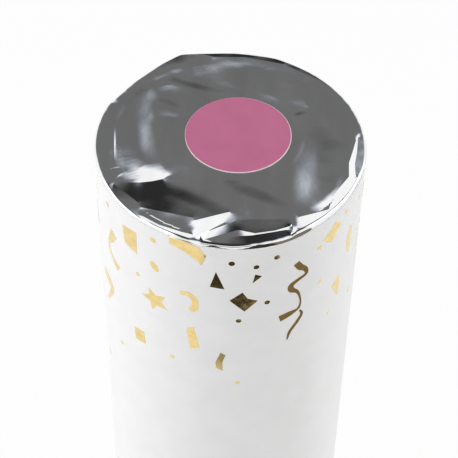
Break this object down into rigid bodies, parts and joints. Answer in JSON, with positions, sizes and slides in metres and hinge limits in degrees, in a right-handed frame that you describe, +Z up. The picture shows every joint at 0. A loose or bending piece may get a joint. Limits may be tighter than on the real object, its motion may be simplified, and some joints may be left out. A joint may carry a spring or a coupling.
{
  "type": "confetti popper",
  "caption": "Upright cardboard confetti popper: a film-sealed barrel of paper slips above a twist grip that holds an air bottle and its cam-lifted valve plug.",
  "frame": {"origin": "centre of the ring foot, on the surface that the popper stands on", "axes": "+Z up along the tube to the muzzle, +X and +Y across it; the picture looks along +Y and down"},
  "size_m": [0.0508, 0.0508, 0.2792],
  "materials": {
    "tube_board": "raw spiral-wound board",
    "white_paper": "coated white paper",
    "silver_film": "crumpled metallised film",
    "pink_label": "semi-gloss label paper",
    "gold_foil": "metallised gold foil on paper",
    "cap_plastic": "moulded white plastic",
    "bottle_metal": "drawn aluminium",
    "black_rubber": "moulded rubber",
    "valve_plastic": "moulded acetal",
    "plug_plastic": "moulded black acetal",
    "spring_steel": "bright steel",
    "pad_foam": "soft foam",
    "pink_tissue": "tissue paper",
    "white_tissue": "tissue paper"
  },
  "bodies": {
    "barrel": {"barrel_tube": "tube_board", "barrel_wrap": "white_paper", "muzzle_foil": "silver_film", "colour_sticker": "pink_label", "coupler_sleeve": "valve_plastic", "thrust_plate": "valve_plastic", "key_bridge": "valve_plastic", "spacer_sleeve": "tube_board"},
    "grip": {"grip_tube": "tube_board", "grip_wrap": "white_paper", "base_cap": "cap_plastic", "air_bottle": "bottle_metal", "fill_valve": "black_rubber", "valve_collar": "valve_plastic", "neck_gasket": "black_rubber", "retaining_ring": "spring_steel"},
    "plug": {"valve_plug": "plug_plastic", "plug_o_ring": "black_rubber", "cam_pin": "spring_steel"},
    "charge": {"pusher_card": "tube_board", "pusher_foam": "pad_foam", "pink_confetti": "pink_tissue", "white_confetti": "white_tissue", "gold_confetti": "gold_foil"}
  },
  "joints": [
    {"name": "grip_twist", "type": "hinge", "parent": "barrel", "child": "grip", "pos_m": [0, 0, 0], "axis": [0, 0, 1], "range_deg": [0, 90]},
    {"name": "plug_lift", "type": "slide", "parent": "barrel", "child": "plug", "axis": [0, 0, 1], "range_m": [0, 0.005]},
    {"name": "charge_slide", "type": "slide", "parent": "barrel", "child": "charge", "axis": [0, 0, 1], "range_m": [0, 0.029]}
  ],
  "couplings": [
    {"joint": "plug_lift", "follows": "grip_twist", "m_per_rad": 0.003183}
  ]
}
